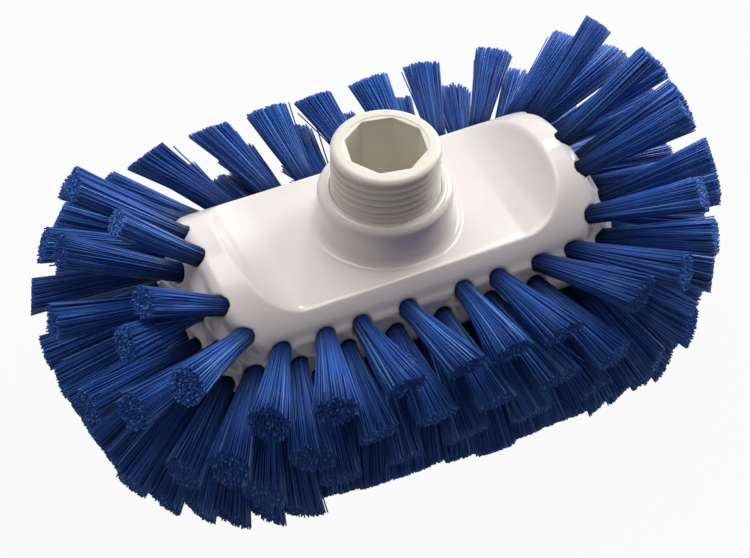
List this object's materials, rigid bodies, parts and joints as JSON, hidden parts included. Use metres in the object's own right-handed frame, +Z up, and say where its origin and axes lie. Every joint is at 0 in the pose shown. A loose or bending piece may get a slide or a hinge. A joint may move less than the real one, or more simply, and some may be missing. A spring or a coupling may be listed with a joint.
{
  "type": "kettle brush",
  "caption": "Oblong crowned brush head with fanned tufts all round its rim, sides and underside, a grip channel across the top and a boss with an octagonal handle socket.",
  "frame": {"origin": "centre of the head's bounding box at its base, where the lowest strands stand; the socket's axis runs through it", "axes": "+Z up along the handle socket, out of its mouth; +X along the block's length; +Y across the block"},
  "size_m": [0.217, 0.1346, 0.1015],
  "materials": {
    "white_block": "satin white moulding",
    "ivory_insert": "satin ivory moulding",
    "blue_bristle": "stiff blue filament"
  },
  "bodies": {
    "root": {"brush_block": "white_block", "socket_insert": "ivory_insert", "rim_tufts_01": "blue_bristle", "rim_tufts_02": "blue_bristle", "rim_tufts_03": "blue_bristle", "rim_tufts_04": "blue_bristle", "rim_tufts_05": "blue_bristle", "rim_tufts_06": "blue_bristle", "rim_tufts_07": "blue_bristle", "rim_tufts_08": "blue_bristle", "upper_tufts_01": "blue_bristle", "upper_tufts_02": "blue_bristle", "upper_tufts_03": "blue_bristle", "upper_tufts_04": "blue_bristle", "upper_tufts_05": "blue_bristle", "upper_tufts_06": "blue_bristle", "upper_tufts_07": "blue_bristle", "upper_tufts_08": "blue_bristle", "middle_tufts_01": "blue_bristle", "middle_tufts_02": "blue_bristle", "middle_tufts_03": "blue_bristle", "middle_tufts_04": "blue_bristle", "middle_tufts_05": "blue_bristle", "middle_tufts_06": "blue_bristle", "middle_tufts_07": "blue_bristle", "middle_tufts_08": "blue_bristle", "lower_tufts_01": "blue_bristle", "lower_tufts_02": "blue_bristle", "lower_tufts_03": "blue_bristle", "lower_tufts_04": "blue_bristle", "lower_tufts_05": "blue_bristle", "lower_tufts_06": "blue_bristle", "base_tufts_01": "blue_bristle", "base_tufts_02": "blue_bristle", "base_tufts_03": "blue_bristle", "base_tufts_04": "blue_bristle", "base_tufts_05": "blue_bristle", "base_tufts_06": "blue_bristle"}
  },
  "joints": []
}
